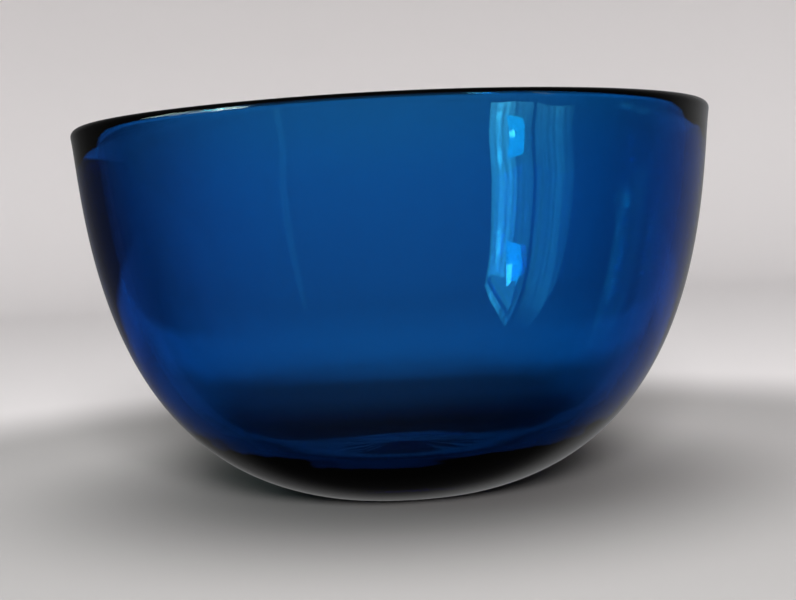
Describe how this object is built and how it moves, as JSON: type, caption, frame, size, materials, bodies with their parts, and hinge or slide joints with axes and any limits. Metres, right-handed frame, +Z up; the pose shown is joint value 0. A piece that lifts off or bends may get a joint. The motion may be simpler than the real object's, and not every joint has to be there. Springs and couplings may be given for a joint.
{
  "type": "glass bowl",
  "caption": "Deep round bowl of transparent blue art glass with a rounded lip, thick floor and small flat base.",
  "frame": {"origin": "centre of the flat base, on the surface that the bowl stands on", "axes": "+Z up along the bowl's axis of revolution; X and Y are equivalent"},
  "size_m": [0.16, 0.16, 0.093],
  "materials": {
    "blue_glass": "fire-polished, clear and glossy"
  },
  "bodies": {
    "root": {"glass_bowl": "blue_glass"}
  },
  "joints": []
}
